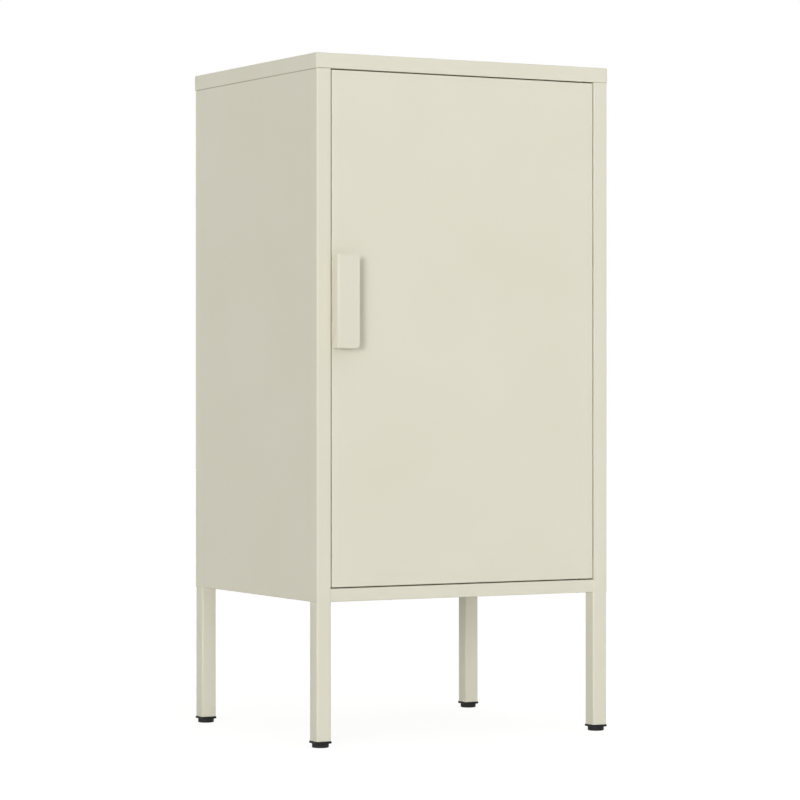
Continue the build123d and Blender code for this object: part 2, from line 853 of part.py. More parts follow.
def make_catch_screws():
    """Screws through the catch's ears up into the header fold."""
    screw = pan_screw(catch_screw_radius, catch_screw_length, catch_screw_head_radius, catch_screw_head_height)
    seat = cap_bottom - catch_ear_thickness
    return [Pos(x, catch_middle_y(), seat) * Rot(180, 0, 0) * screw for x in catch_screw_places()]


def stop_middle_y():
    """The rubber stop stands just behind the closed door."""
    return door_back_y + touch_clearance + stop_radius


def make_door_stop():
    """A rubber peg pushed into the floor, which meets the door's lower return."""
    x = stop_inset - door_half_width
    peg = upright_cylinder(x, stop_middle_y(), floor_top, floor_top + stop_height, stop_radius)
    peg = chamfer(peg.edges().sort_by(Axis.Z)[-1], stop_edge_chamfer)
    return peg + upright_cylinder(
        x, stop_middle_y(), floor_top - stop_stem_length, floor_top, stop_stem_radius
    )


def write_node(name, pieces):
    """Write one sub-part: a single piece, or a group of separate ones."""
    solids = [solid for piece in pieces for solid in piece.solids()]
    shape = solids[0] if len(solids) == 1 else Compound(solids)
    export_step(shape, os.path.join("parts", name + ".step"))


def build():
    """Make every sub-part and write it out under its own name."""
    os.makedirs("parts", exist_ok=True)
    right_side = make_right_side_panel()
    write_node("top_panel", [make_top_panel()])
    write_node("right_side_panel", [right_side])
    write_node("left_side_panel", [mirror(right_side, Plane.YZ)])
    write_node("back_panel", [make_back_panel()])
    write_node("bottom_panel", [make_bottom_panel()])
    write_node("door_panel", [make_door_panel()])
    write_node("door_stiffener", [make_door_stiffener()])
    write_node("upper_pivot_pin", [make_pivot_pin(door_top, 1)])
    write_node("lower_pivot_pin", [make_pivot_pin(door_bottom, -1)])
    write_node("upper_pivot_bush", [make_upper_bush()])
    write_node("lower_pivot_bush", [make_lower_bush()])
    write_node("pull_handle", [make_pull_handle()])
    write_node("handle_screws", make_handle_screws())
    write_node("shelf_panel", [make_shelf()])
    write_node("shelf_clips", make_shelf_clips())
    write_node("leg_end_plates", [make_leg_end_plate(x, y) for x, y in leg_places])
    write_node("leg_studs", [make_leg_stud(x, y) for x, y in leg_places])
    write_node("leg_washers", [make_leg_washer(x, y) for x, y in leg_places])
    write_node("leg_nuts", [make_leg_nut(x, y) for x, y in leg_places])
    for corner, (x, y) in zip(leg_names, leg_places):
        write_node("leg_" + corner, [make_leg(x, y)])
        write_node("leg_plug_" + corner, [make_leg_plug(x, y)])
        write_node("screw_foot_" + corner, [make_foot(x, y)])
    write_node("back_panel_screws", make_back_screws())
    write_node("top_panel_studs", make_top_studs())
    write_node("top_panel_nuts", make_top_nuts())
    write_node("catch_case", [make_catch_case()])
    write_node("catch_pole_plates", make_pole_plates())
    write_node("catch_magnet", [make_magnet()])
    write_node("catch_screws", make_catch_screws())
    write_node("door_stop", [make_door_stop()])


build()
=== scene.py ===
import math

import bmesh
import bpy
from bpy.props import FloatProperty, FloatVectorProperty, PointerProperty
from bpy.types import Operator, Panel, PropertyGroup
from mathutils import Matrix, Vector


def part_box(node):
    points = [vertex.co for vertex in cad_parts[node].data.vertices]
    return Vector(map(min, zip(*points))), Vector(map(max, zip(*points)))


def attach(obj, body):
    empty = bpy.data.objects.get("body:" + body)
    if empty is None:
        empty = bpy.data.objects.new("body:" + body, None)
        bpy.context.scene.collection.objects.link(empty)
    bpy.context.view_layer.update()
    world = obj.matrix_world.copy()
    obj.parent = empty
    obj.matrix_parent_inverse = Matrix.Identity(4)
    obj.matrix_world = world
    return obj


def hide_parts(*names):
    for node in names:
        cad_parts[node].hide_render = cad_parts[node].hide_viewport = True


bl_info = {
    "name": "Powder Coated Metal Cabinet",
    "version": (1, 0, 0),
    "blender": (4, 5, 0),
    "location": "View3D > Sidebar > Cabinet",
    "description": "Finishes a sheet steel cabinet on legs: coat, plating, mouldings, screws and a studio",
    "category": "Object",
}

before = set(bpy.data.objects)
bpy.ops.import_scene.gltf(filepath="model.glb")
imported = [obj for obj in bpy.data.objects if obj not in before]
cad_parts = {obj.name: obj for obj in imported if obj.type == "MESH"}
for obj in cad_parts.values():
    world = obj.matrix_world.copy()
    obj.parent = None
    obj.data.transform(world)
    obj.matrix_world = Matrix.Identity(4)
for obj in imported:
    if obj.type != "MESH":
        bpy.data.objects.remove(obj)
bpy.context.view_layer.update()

MM = 0.001
MICROMETRE = 0.001 * MM
UP = Vector((0.0, 0.0, 1.0))
FULL_TURN = 2 * math.pi
CORNERS = ("front_left", "front_right", "back_left", "back_right")

# Turns of a screw that stands head up, after which its head points backwards or down
BACKWARDS = Matrix.Rotation(math.radians(-90), 4, "X")
DOWNWARDS = Matrix.Rotation(math.radians(180), 4, "X")

# Points round a turned piece, a screw head, a square piece with round corners, a thread and the floor
TURNED_SIDES = 48
HEAD_SIDES = 32
SQUARED_SIDES = 96
THREAD_SIDES = 20
FLOOR_SIDES = 96

# Points that lie closer than this are one point
WELD_DISTANCE = 0.001 * MM
# Faces of a CAD node that turn by less than this are one flat face
FLAT_ANGLE = math.radians(0.5)
# Edges of a CAD node that turn by more than this are cut edges, and are rounded
CUT_ANGLE = math.radians(50)
# Edges of a moulding or a screw that turn by more than this stay crisp
CREASE_ANGLE = math.radians(35)

# The range that soft noise keeps to, but for rare peaks
NOISE_LOW = 0.3
NOISE_HIGH = 0.7

# Threads: depth as a share of the pitch, and the profile as shares of that depth and of the pitch
THREAD_DEPTH = 0.6
THREAD_PROFILE = ((0, 0.0), (0, 0.15), (1, 0.5), (1, 0.62), (0, 1.0))

# The 8 mm and the 5 mm threads, the bores that clear them, and half the width of their nuts over the flats
M8_RADIUS = 4 * MM
M8_BORE_RADIUS = 4.05 * MM
M8_HALF_FLATS = 6.5 * MM
M5_RADIUS = 2.5 * MM
M5_BORE_RADIUS = 2.55 * MM
M5_HALF_FLATS = 4 * MM

# Screws: shank radius, shank length, head radius and head height
BACK_SCREW = (1.9 * MM, 8.0 * MM, 3.9 * MM, 2.2 * MM)
HANDLE_SCREW = (2.0 * MM, 2.9 * MM, 3.8 * MM, 2.2 * MM)
CATCH_SCREW = (1.5 * MM, 6.0 * MM, 2.7 * MM, 1.8 * MM)

# Plugs: corner of the flange, half width of the body over its ribs, and corner of the body
PLUG_CORNER = 2.6 * MM
PLUG_BODY = 8.7 * MM
PLUG_BODY_CORNER = 1.0 * MM
# A plug's ribs: how many, and the outline of one as shares of their pitch and depths below its crest
PLUG_RIBS = 3
PLUG_RIB = ((0.35, 0.5 * MM), (0.45, 0.0), (0.95, 0.5 * MM))
# How far a plug's upper end is drawn in, so that it finds its tube
PLUG_LEAD_IN = 0.9 * MM

# Which CAD nodes keep their shape and only take a finish
COATED_PANELS = (
    "top_panel", "left_side_panel", "right_side_panel", "back_panel", "bottom_panel",
    "door_panel", "door_stiffener", "pull_handle", "shelf_panel", "leg_end_plates",
    "leg_front_left", "leg_front_right", "leg_back_left", "leg_back_right",
)
ZINC_PARTS = ("leg_washers", "shelf_clips", "upper_pivot_pin", "lower_pivot_pin", "catch_pole_plates")
NYLON_BUSHES = ("upper_pivot_bush", "lower_pivot_bush")

# How each finish looks: its two colours and three random patterns. A pattern starts with the width of its
# swellings in millimetres and its detail. The tone blends the two colours. The sheen also gives the lowest
# and the highest roughness, and the relief its height in micrometres. The values go straight to the shader.
FINISHES = {
    # Polyester powder, sprayed and baked: a matt cream skin with a slight orange peel. The film's thickness
    # drifts over a hand's width, and it levels unevenly, so its tone and its sheen change a little.
    "powder_coated_steel": {
        "colours": ("coat_colour", "coat_thin_colour"), "tone": (180, 2),
        "sheen": (25, 2, 0.60, 0.66), "relief": (1.6, 2, 6), "values": {"IOR": 1.5},
    },
    # Barrel plated zinc: bright bluish metal with dull patches and fine knocks from the barrel
    "zinc_plated_steel": {
        "colours": ("zinc_colour", "zinc_dull_colour"), "tone": (3, 4),
        "sheen": (2, 2, 0.28, 0.42), "relief": (0.5, 2, 10), "values": {"Metallic": 1.0},
    },
    # Injection moulded polypropylene: black, with the spark eroded grain of its mould, which is drawn
    # coarser than it is so that it shows. The pits of the grain swallow part of the gloss.
    "moulded_polypropylene": {
        "colours": ("plastic_colour", "plastic_worn_colour"), "tone": (6, 3),
        "sheen": (0.7, 3, 0.55, 0.7), "relief": (0.7, 3, 20),
        "values": {"IOR": 1.49, "Specular IOR Level": 0.33},
    },
    # Moulded nylon, dyed black: slightly waxy, and a little browner where grease has reached it
    "moulded_nylon": {
        "colours": ("nylon_colour", "nylon_greased_colour"), "tone": (4, 2),
        "sheen": (1.5, 2, 0.34, 0.44), "relief": (0.6, 2, 8), "values": {"IOR": 1.53},
    },
    # Moulded ABS: off white, with an even half gloss from a polished mould
    "moulded_abs": {
        "colours": ("catch_colour", "catch_yellow_colour"), "tone": (12, 2),
        "sheen": (2, 2, 0.24, 0.32), "relief": (1.2, 2, 6), "values": {"IOR": 1.54},
    },
    # Pressed and sintered ferrite: dull dark grey, with the pores of a ceramic, which are drawn coarser
    # than they are so that they show
    "sintered_ferrite": {
        "colours": ("ferrite_colour", "ferrite_ground_colour"), "tone": (0.4, 6),
        "sheen": (0.4, 6, 0.5, 0.7), "relief": (0.4, 6, 25), "values": {"IOR": 2.3},
    },
    # Moulded rubber: matt dark grey with a dusty bloom on its skin
    "moulded_rubber": {
        "colours": ("rubber_colour", "rubber_bloom_colour"), "tone": (2.5, 4),
        "sheen": (1.5, 2, 0.62, 0.78), "relief": (0.5, 2, 15), "values": {"IOR": 1.52},
    },
}

# The studio's soft lights: angle from straight in front of the cabinet to the right, angle above the floor,
# and angle from a light's middle at which it has fallen to about a third, all in degrees
SOFT_LIGHTS = {
    "key": (-48, 4, 9.1),
    "edge": (-44, 12, 4.7),
    "front": (6, 3, 10.5),
    "right": (40, 8, 29),
    "high": (0, 35, 17),
    "rear": (-105, 46, 29),
    "above": (0, 80, 29),
    "behind": (165, 14, 29),
}


def linear_colour(code):
    """An sRGB hex code as the linear colour that the renderer works in."""
    channels = [int(code[place:place + 2], 16) / 255 for place in (1, 3, 5)]
    return [c / 12.92 if c <= 0.04045 else ((c + 0.055) / 1.055) ** 2.4 for c in channels] + [1.0]


def colour_property(name, code, description):
    """A colour that a user may pick, given by its sRGB hex code."""
    return FloatVectorProperty(
        name=name, description=description, default=linear_colour(code), size=4, subtype="COLOR",
        min=0, max=1,
    )


def length_property(name, millimetres, description):
    """A length that a user may set, given in millimetres."""
    return FloatProperty(
        name=name, description=description, default=millimetres * MM, min=0, unit="LENGTH"
    )


def number_property(name, number, description):
    """A plain number that a user may set."""
    return FloatProperty(name=name, description=description, default=number)


class CabinetFinishes(PropertyGroup):
    """Colours and surface figures of the cabinet's finishes"""

    coat_colour: colour_property("Powder Coat", "#DEDBCA", "Colour of the cream polyester powder coat")
    coat_thin_colour: colour_property(
        "Powder Coat, Thin", "#DBD8C6", "Colour where the powder lies a little thinner on the steel"
    )
    # Painted shadow: a dark line painted on the side walls just under the cap's skirts, where the lap's
    # shade falls
    coat_painted_shadow_colour: colour_property(
        "Powder Coat, Corner", "#A6A292", "Colour in the corner under the cap, where the coat is thin"
    )
    # Height of the painted shadow line under the cap's skirts
    painted_shadow_height: length_property("Corner Shade", 1.2, "Height of the thin coat in the corner under the cap")
    zinc_colour: colour_property("Zinc", "#C9CCCC", "Colour of bright zinc plate")
    zinc_dull_colour: colour_property("Zinc, Dull", "#AEB2B4", "Colour of zinc plate where it has dulled")
    plastic_colour: colour_property("Black Plastic", "#101010", "Colour of the moulded plugs and feet")
    plastic_worn_colour: colour_property(
        "Black Plastic, Worn", "#171716", "Colour of the plugs and feet where they are scuffed"
    )
    nylon_colour: colour_property("Nylon", "#242423", "Colour of the black nylon bushes")
    nylon_greased_colour: colour_property("Nylon, Greased", "#2B2926", "Colour of the bushes under grease")
    catch_colour: colour_property("Catch Case", "#E4E2DA", "Colour of the catch's moulded case")
    catch_yellow_colour: colour_property("Catch Case, Yellowed", "#DEDACC", "Colour of the case with age")
    ferrite_colour: colour_property("Ferrite", "#3B3A3B", "Colour of the sintered magnet")
    ferrite_ground_colour: colour_property("Ferrite, Ground", "#4A494A", "Colour of the magnet's open grain")
    rubber_colour: colour_property("Rubber", "#3A3937", "Colour of the door stop")
    rubber_bloom_colour: colour_property("Rubber, Bloom", "#4B4A47", "Colour of the bloom on the door stop")


class CabinetHardware(PropertyGroup):
    """Sizes of the mouldings, screws and threads"""

    coated_edge_radius: length_property("Coated Edge", 0.08, "How far the coat rounds the sheet's cut edges")
    cut_edge_radius: length_property("Cut Edge", 0.15, "How far the small fittings' edges are rounded")
    foot_edge_radius: length_property("Foot Edge", 1.1, "Radius of a foot's lower edge")
    foot_rim_radius: length_property("Foot Rim", 0.4, "Radius of a foot's upper edge")
    foot_recess_depth: length_property("Foot Recess", 0.5, "Depth of the recess under a foot")
    plug_edge_radius: length_property("Plug Edge", 1.3, "Radius of a plug flange's edges")
    coarse_pitch: length_property("Coarse Thread", 1.25, "Pitch of the 8 mm threads")
    fine_pitch: length_property("Fine Thread", 0.8, "Pitch of the 5 mm threads")
    screw_pitch: length_property("Screw Thread", 1.1, "Pitch of the thread forming screws")
    handle_pitch: length_property("Handle Thread", 0.7, "Pitch of the pull's 4 mm screws")
    stop_crown: length_property("Stop Crown", 1.6, "Radius of the rubber stop's upper edge")


class CabinetStudio(PropertyGroup):
    """Camera, soft lights and floor"""

    camera_place: FloatVectorProperty(
        name="Camera", description="Where the camera stands", default=(-1.9722, -3.5945, 0.4486),
        subtype="TRANSLATION", unit="LENGTH",
    )
    camera_turn: FloatProperty(
        name="Camera Turn", description="Turn from looking straight back, below nought to the right",
        default=math.radians(-28.737), subtype="ANGLE",
    )
    camera_lens: number_property("Lens", 142.09, "Focal length in millimetres")
    camera_sensor: number_property("Sensor", 36.0, "Width of the camera's sensor in millimetres")
    camera_rise: number_property("Rise", -0.02384, "Vertical shift that frames the picture")
    key_strength: number_property("Key", 22.8, "Strength of the low soft light at the left")
    edge_strength: number_property("Edge", 14.2, "Strength of the narrow light over the key")
    front_strength: number_property("Front", 4.0, "Strength of the low light in front")
    right_strength: number_property("Right", 0.99, "Strength of the wide light at the right")
    high_strength: number_property("High", 0.66, "Strength of the light high in front")
    rear_strength: number_property("Rear", 0.12, "Strength of the wide light behind the left side")
    above_strength: number_property("Above", 1.5, "Strength of the wide light overhead")
    behind_strength: number_property("Behind", 2.0, "Strength of the wide light behind")
    floor_radius: number_property("Floor Radius", 12.0, "Radius of the floor in metres")
    floor_colour: colour_property("Floor", "#F2F2F0", "Colour of the plain pale floor")
    floor_light: number_property("Floor Light", 0.55, "Light that reaches the open floor")
    floor_glow: number_property("Floor Glow", 0.75, "Share of white that the camera sees in the floor")


def add_node(tree, kind, settings=None, values=None, links=None):
    """Adds a node with its settings, its socket values and the sockets that feed it."""
    node = tree.nodes.new(kind)
    for option, value in (settings or {}).items():
        setattr(node, option, value)
    for socket, value in (values or {}).items():
        node.inputs[socket].default_value = value
    for socket, source in (links or {}).items():
        tree.links.new(source, node.inputs[socket])
    return node


def empty_tree(owner):
    """The tree of a material or a world, without its nodes."""
    owner.use_nodes = True
    owner.node_tree.nodes.clear()
    return owner.node_tree


def painted_cap_shadow(tree, place, finishes):
    """Share of the painted shadow on the side walls: a dark hair line painted in the corner under the cap's
    skirts, where the lap's shade falls.
    """
    skirt_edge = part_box("top_panel")[0][2]
    wall_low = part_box("left_side_panel")[0]
    shade = finishes.painted_shadow_height
    across, along, up = add_node(tree, "ShaderNodeSeparateXYZ", links={0: place}).outputs
    outward = add_node(tree, "ShaderNodeMath", {"operation": "ABSOLUTE"}, links={0: across}).outputs[0]
    near_skirt = add_node(
        tree, "ShaderNodeMapRange",
        values={"From Min": skirt_edge - shade, "From Max": skirt_edge - shade / 2}, links={"Value": up},
    )
    share = near_skirt.outputs["Result"]
    # The first limit lies inside the wall's outer face and well outside its inner one
    just_inside = 0.1 * MM
    for operation, value, limit in (
        ("GREATER_THAN", outward, -wall_low[0] - just_inside),
        ("GREATER_THAN", along, wall_low[1] + shade),
        ("LESS_THAN", up, skirt_edge),
    ):
        test = add_node(tree, "ShaderNodeMath", {"operation": operation}, {1: limit}, {0: value})
        links = {0: share, 1: test.outputs[0]}
        share = add_node(tree, "ShaderNodeMath", {"operation": "MULTIPLY"}, links=links).outputs[0]
    return share


def build_material(name, finishes):
    """Makes a finish from its entry: colour, roughness and relief, each run by its own random pattern."""
    look = FINISHES[name]
    material = bpy.data.materials.new(name)
    tree = empty_tree(material)
    place = add_node(tree, "ShaderNodeTexCoord").outputs["Object"]
    patterns = []
    for use in ("tone", "sheen", "relief"):
        width, detail = look[use][:2]
        values = {"Scale": 1 / (width * MM), "Detail": detail}
        noise = add_node(tree, "ShaderNodeTexNoise", values=values, links={"Vector": place})
        patterns.append(noise.outputs["Fac"])
    tone, sheen, relief = patterns
    spans = []
    for pattern, (low, high) in ((tone, (0.0, 1.0)), (sheen, look["sheen"][2:])):
        values = {"From Min": NOISE_LOW, "From Max": NOISE_HIGH, "To Min": low, "To Max": high}
        span = add_node(tree, "ShaderNodeMapRange", values=values, links={"Value": pattern})
        spans.append(span.outputs["Result"])
    share, roughness = spans
    # The two colours of a Mix node are its sockets 6 and 7, and the mixed one is its output 2
    first, second = (getattr(finishes, colour) for colour in look["colours"])
    mix = add_node(tree, "ShaderNodeMix", {"data_type": "RGBA"}, {6: first, 7: second}, {0: share})
    if name == "powder_coated_steel":
        # Painted shadow: the side walls darken to the shadow colour in a hair line under the cap's skirts
        values = {7: finishes.coat_painted_shadow_colour}
        links = {0: painted_cap_shadow(tree, place, finishes), 6: mix.outputs[2]}
        mix = add_node(tree, "ShaderNodeMix", {"data_type": "RGBA"}, values, links)
    height = look["relief"][2] * MICROMETRE
    bump = add_node(tree, "ShaderNodeBump", values={"Distance": height}, links={"Height": relief})
    shader = add_node(
        tree, "ShaderNodeBsdfPrincipled", values=look["values"],
        links={"Base Color": mix.outputs[2], "Roughness": roughness, "Normal": bump.outputs["Normal"]},
    )
    add_node(tree, "ShaderNodeOutputMaterial", links={"Surface": shader.outputs["BSDF"]})
    return material


def finish(context, name):
    """The material of that name, made when it is first asked for."""
    return bpy.data.materials.get(name) or build_material(name, context.scene.cabinet_finishes)


def dress_node(context, node, material_name, edge_radius):
    """Gives a CAD node its finish, and rounds its cut edges by a live bevel on its welded faces."""
    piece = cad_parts[node]
    piece.data.materials.clear()
    piece.data.materials.append(finish(context, material_name))
    weld = piece.modifiers.new("weld", "WELD")
    weld.merge_threshold = WELD_DISTANCE
    flat = piece.modifiers.new("flat_faces", "DECIMATE")
    flat.decimate_type = "DISSOLVE"
    flat.angle_limit = FLAT_ANGLE
    bevel = piece.modifiers.new("cut_edges", "BEVEL")
    bevel.width = edge_radius
    bevel.segments = 2
    bevel.limit_method = "ANGLE"
    bevel.angle_limit = CUT_ANGLE


def add_piece(context, name, bm, material_name, slot, body, *nodes):
    """Turns a finished mesh into a piece that rides on a body and stands for its CAD nodes."""
    mesh = bpy.data.meshes.new(name)
    bm.to_mesh(mesh)
    bm.free()
    mesh.materials.append(finish(context, material_name))
    mesh.shade_smooth()
    mesh.set_sharp_from_angle(angle=CREASE_ANGLE)
    piece = bpy.data.objects.new(name, mesh)
    context.scene.collection.objects.link(piece)
    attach(piece, body)
    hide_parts(*nodes)


def stand(bm, low, high):
    """Moves a mesh that was made about the upright axis from zero up to the middle of its CAD node."""
    middle = (low + high) / 2
    bmesh.ops.translate(bm, verts=bm.verts, vec=(middle.x, middle.y, low.z))


def add_copy(bm, part, place):
    """Adds a finished part to a mesh at the place given."""
    mesh = bpy.data.meshes.new("part")
    part.to_mesh(mesh)
    mesh.transform(place)
    bm.from_mesh(mesh)
    bpy.data.meshes.remove(mesh)


def arc_points(centre, radius, first, last, count):
    """Points on an arc of an outline, its angles in degrees from straight outwards."""
    angles = [math.radians(first + (last - first) * step / count) for step in range(count + 1)]
    return [(centre[0] + radius * math.cos(a), centre[1] + radius * math.sin(a)) for a in angles]


def turn_outline(bm, outline, sides=TURNED_SIDES):
    """Turns an outline, given as radius and height, about the upright axis into a closed shell."""
    verts = [bm.verts.new((radius, 0, height)) for radius, height in outline]
    edges = [bm.edges.new(pair) for pair in zip(verts, verts[1:])]
    bmesh.ops.spin(
        bm, geom=verts + edges, cent=(0, 0, 0), axis=UP, angle=FULL_TURN, steps=sides, use_merge=True
    )
    bmesh.ops.remove_doubles(bm, verts=bm.verts, dist=WELD_DISTANCE)
    bmesh.ops.recalc_face_normals(bm, faces=bm.faces)


def wind_thread(low, high, radius, pitch, taper):
    """A thread with flat ends. A taper above nought draws in its top, and one below nought its foot."""
    bm = bmesh.new()
    depth = THREAD_DEPTH * pitch
    root = radius - depth
    # The thread is wound past both ends, and cut flat there
    spare_turns = 3
    start = low - spare_turns / 2 * pitch
    turns = math.ceil((high - low) / pitch) + spare_turns
    verts = [
        bm.verts.new((root + rise * depth, 0, start + share * pitch)) for rise, share in THREAD_PROFILE
    ]
    edges = [bm.edges.new(pair) for pair in zip(verts, verts[1:])]
    bmesh.ops.spin(
        bm, geom=verts + edges, cent=(0, 0, 0), axis=UP, dvec=(0, 0, pitch / THREAD_SIDES),
        angle=FULL_TURN * turns, steps=THREAD_SIDES * turns,
    )
    bmesh.ops.remove_doubles(bm, verts=bm.verts, dist=WELD_DISTANCE)
    for height, outer in ((low, False), (high, True)):
        cut = bmesh.ops.bisect_plane(
            bm, geom=bm.verts[:] + bm.edges[:] + bm.faces[:], plane_co=(0, 0, height), plane_no=UP,
            clear_outer=outer, clear_inner=not outer,
        )
        rim = [item for item in cut["geom_cut"] if isinstance(item, bmesh.types.BMEdge)]
        bmesh.ops.holes_fill(bm, edges=rim, sides=0)
    tip = high if taper > 0 else low
    for vert in bm.verts:
        allowed = radius - max(0.0, abs(taper) - abs(vert.co.z - tip))
        reach = math.hypot(vert.co.x, vert.co.y)
        if reach > allowed:
            vert.co.x *= allowed / reach
            vert.co.y *= allowed / reach
    bmesh.ops.recalc_face_normals(bm, faces=bm.faces)
    return bm


def ring(bm, sides, place):
    """A closed loop of points, each put where place() says for its angle round the axis."""
    verts = bmesh.ops.create_circle(bm, cap_ends=False, radius=1.0, segments=sides)["verts"]
    edges = list({edge for vert in verts for edge in vert.link_edges})
    for vert in verts:
        vert.co = place(math.atan2(vert.co.y, vert.co.x))
    return edges


def skin_loops(bm, sides, places):
    """Joins a loop at each place to the next, and the last to the first, into one closed shell."""
    loops = [ring(bm, sides, place) for place in places]
    for near, far in zip(loops, loops[1:] + loops[:1]):
        bmesh.ops.bridge_loops(bm, edges=near + far)
    bmesh.ops.recalc_face_normals(bm, faces=bm.faces)


def round_place(radius, height):
    """Places a loop on a circle."""
    return lambda angle: Vector((radius * math.cos(angle), radius * math.sin(angle), height))


def square_place(half_width, corner_radius, height):
    """Places a loop on a square with round corners."""
    def place(angle):
        far, near = sorted((abs(math.cos(angle)), abs(math.sin(angle))), reverse=True)
        straight = half_width - corner_radius
        reach = half_width / far
        if near * reach > straight:
            along = straight * (far + near)
            reach = along + math.sqrt(along ** 2 - 2 * straight ** 2 + corner_radius ** 2)
        return Vector((reach * math.cos(angle), reach * math.sin(angle), height))
    return place


def hexagon_place(half_flats, face_radius, height, fall):
    """Places a loop on a hexagon whose corners fall away from a height as a cone cuts them."""
    sixth = FULL_TURN / 6

    def place(angle):
        off_flat = (angle + sixth / 2) % sixth - sixth / 2
        reach = half_flats / math.cos(off_flat)
        drop = (reach - face_radius) * fall
        return Vector((reach * math.cos(angle), reach * math.sin(angle), height - drop))
    return place


def hex_nut(half_flats, height, bore_radius):
    """A hexagon nut that sits on zero, its corners cut back by the cone of a real nut."""
    bm = bmesh.new()
    # The round end face stays inside the flats, and the cone falls away from it at 30 degrees
    face_radius = 0.95 * half_flats
    fall = math.tan(math.radians(30))
    skin_loops(bm, TURNED_SIDES, (
        round_place(bore_radius, 0),
        round_place(face_radius, 0),
        hexagon_place(half_flats, face_radius, 0, -fall),
        hexagon_place(half_flats, face_radius, height, fall),
        round_place(face_radius, height),
        round_place(bore_radius, height),
    ))
    return bm


def top_faces(bm, height):
    """The level faces on top of a screw head of the height given."""
    level = 0.99
    near_top = 0.9 * height
    return [
        face for face in bm.faces
        if face.normal.z > level and face.calc_center_median().z > near_top
    ]


def cut_cross_recess(bm, head_height, reach, half_width, depth):
    """Sinks a tapered cross into the flat top of a screw head."""
    for axis in (Vector((1, 0, 0)), Vector((0, 1, 0))):
        for distance in (-reach, -half_width, half_width, reach):
            faces = top_faces(bm, head_height)
            edges = list({edge for face in faces for edge in face.edges})
            verts = list({vert for face in faces for vert in face.verts})
            bmesh.ops.bisect_plane(bm, geom=verts + edges + faces, plane_co=axis * distance, plane_no=axis)
    arms = []
    for face in top_faces(bm, head_height):
        middle = face.calc_center_median()
        near, far = sorted((abs(middle.x), abs(middle.y)))
        if near < half_width and far < reach:
            arms.append(face)
    sunk = bmesh.ops.extrude_face_region(bm, geom=arms)["geom"]
    verts = [item for item in sunk if isinstance(item, bmesh.types.BMVert)]
    bmesh.ops.translate(bm, verts=verts, vec=(0, 0, -depth))
    # The floor of the cross is about half as wide as its mouth
    narrowing = 0.55
    bmesh.ops.scale(bm, verts=verts, vec=(narrowing, narrowing, 1))
    bmesh.ops.delete(bm, geom=[face for face in arms if face.is_valid], context="FACES_ONLY")


def pan_screw(shank_radius, shank_length, head_radius, head_height, pitch):
    """A pan head screw about the upright axis: head above zero, thread below, cross recess on top."""
    bm = bmesh.new()
    # The head is flat over two thirds of its width. An arc about half its height, which the flat cuts off,
    # rounds its side.
    flat_radius = 0.66 * head_radius
    crown = arc_points((flat_radius, 0.5 * head_height), head_radius - flat_radius, 80, 0, 5)
    crown = [(radius, min(height, head_height)) for radius, height in crown]
    # A small chamfer ends the side where it meets the sheet
    foot = [(head_radius, 0.08 * head_height), (0.94 * head_radius, 0), (0, 0)]
    turn_outline(bm, [(0, head_height), (flat_radius, head_height)] + crown[1:] + foot, HEAD_SIDES)
    cut_cross_recess(
        bm, head_height, reach=0.55 * head_radius, half_width=0.11 * head_radius, depth=0.6 * head_height
    )
    # The shank starts inside the head, and its far end is drawn in
    shank = wind_thread(
        low=-shank_length, high=0.1 * head_height, radius=shank_radius, pitch=pitch,
        taper=-0.5 * shank_radius,
    )
    add_copy(bm, shank, Matrix.Identity(4))
    shank.free()
    return bm


def solid_boxes(node):
    """Lowest and highest corners of each separate solid in a CAD node."""
    bm = bmesh.new()
    bm.from_mesh(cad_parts[node].data)
    bmesh.ops.remove_doubles(bm, verts=bm.verts, dist=WELD_DISTANCE)
    boxes = []
    waiting = set(bm.verts)
    while waiting:
        group = {waiting.pop()}
        unvisited = list(group)
        while unvisited:
            vert = unvisited.pop()
            for edge in vert.link_edges:
                other = edge.other_vert(vert)
                if other in waiting:
                    waiting.remove(other)
                    group.add(other)
                    unvisited.append(other)
        low = Vector([min(vert.co[axis] for vert in group) for axis in range(3)])
        high = Vector([max(vert.co[axis] for vert in group) for axis in range(3)])
        boxes.append((low, high))
    bm.free()
    return sorted(boxes, key=lambda corners: tuple(corners[0]))


class CABINET_OT_coat_panels(Operator):
    """Powder coats the folded panels, the door, the shelf, the pull and the legs"""

    bl_idname = "cabinet.coat_panels"
    bl_label = "Coat Panels"

    def execute(self, context):
        hardware = context.scene.cabinet_hardware
        for node in COATED_PANELS:
            dress_node(context, node, "powder_coated_steel", hardware.coated_edge_radius)
        return {"FINISHED"}


class CABINET_OT_plate_fittings(Operator):
    """Zinc plates the clips, pins, washers and pole plates, and finishes the bushes and the catch"""

    bl_idname = "cabinet.plate_fittings"
    bl_label = "Plate Fittings"

    def execute(self, context):
        hardware = context.scene.cabinet_hardware
        for node in ZINC_PARTS:
            dress_node(context, node, "zinc_plated_steel", hardware.cut_edge_radius)
        for node in NYLON_BUSHES:
            dress_node(context, node, "moulded_nylon", hardware.cut_edge_radius)
        dress_node(context, "catch_magnet", "sintered_ferrite", hardware.cut_edge_radius)
        # A moulded case is rounder than a cut edge
        dress_node(context, "catch_case", "moulded_abs", 2 * hardware.cut_edge_radius)
        return {"FINISHED"}


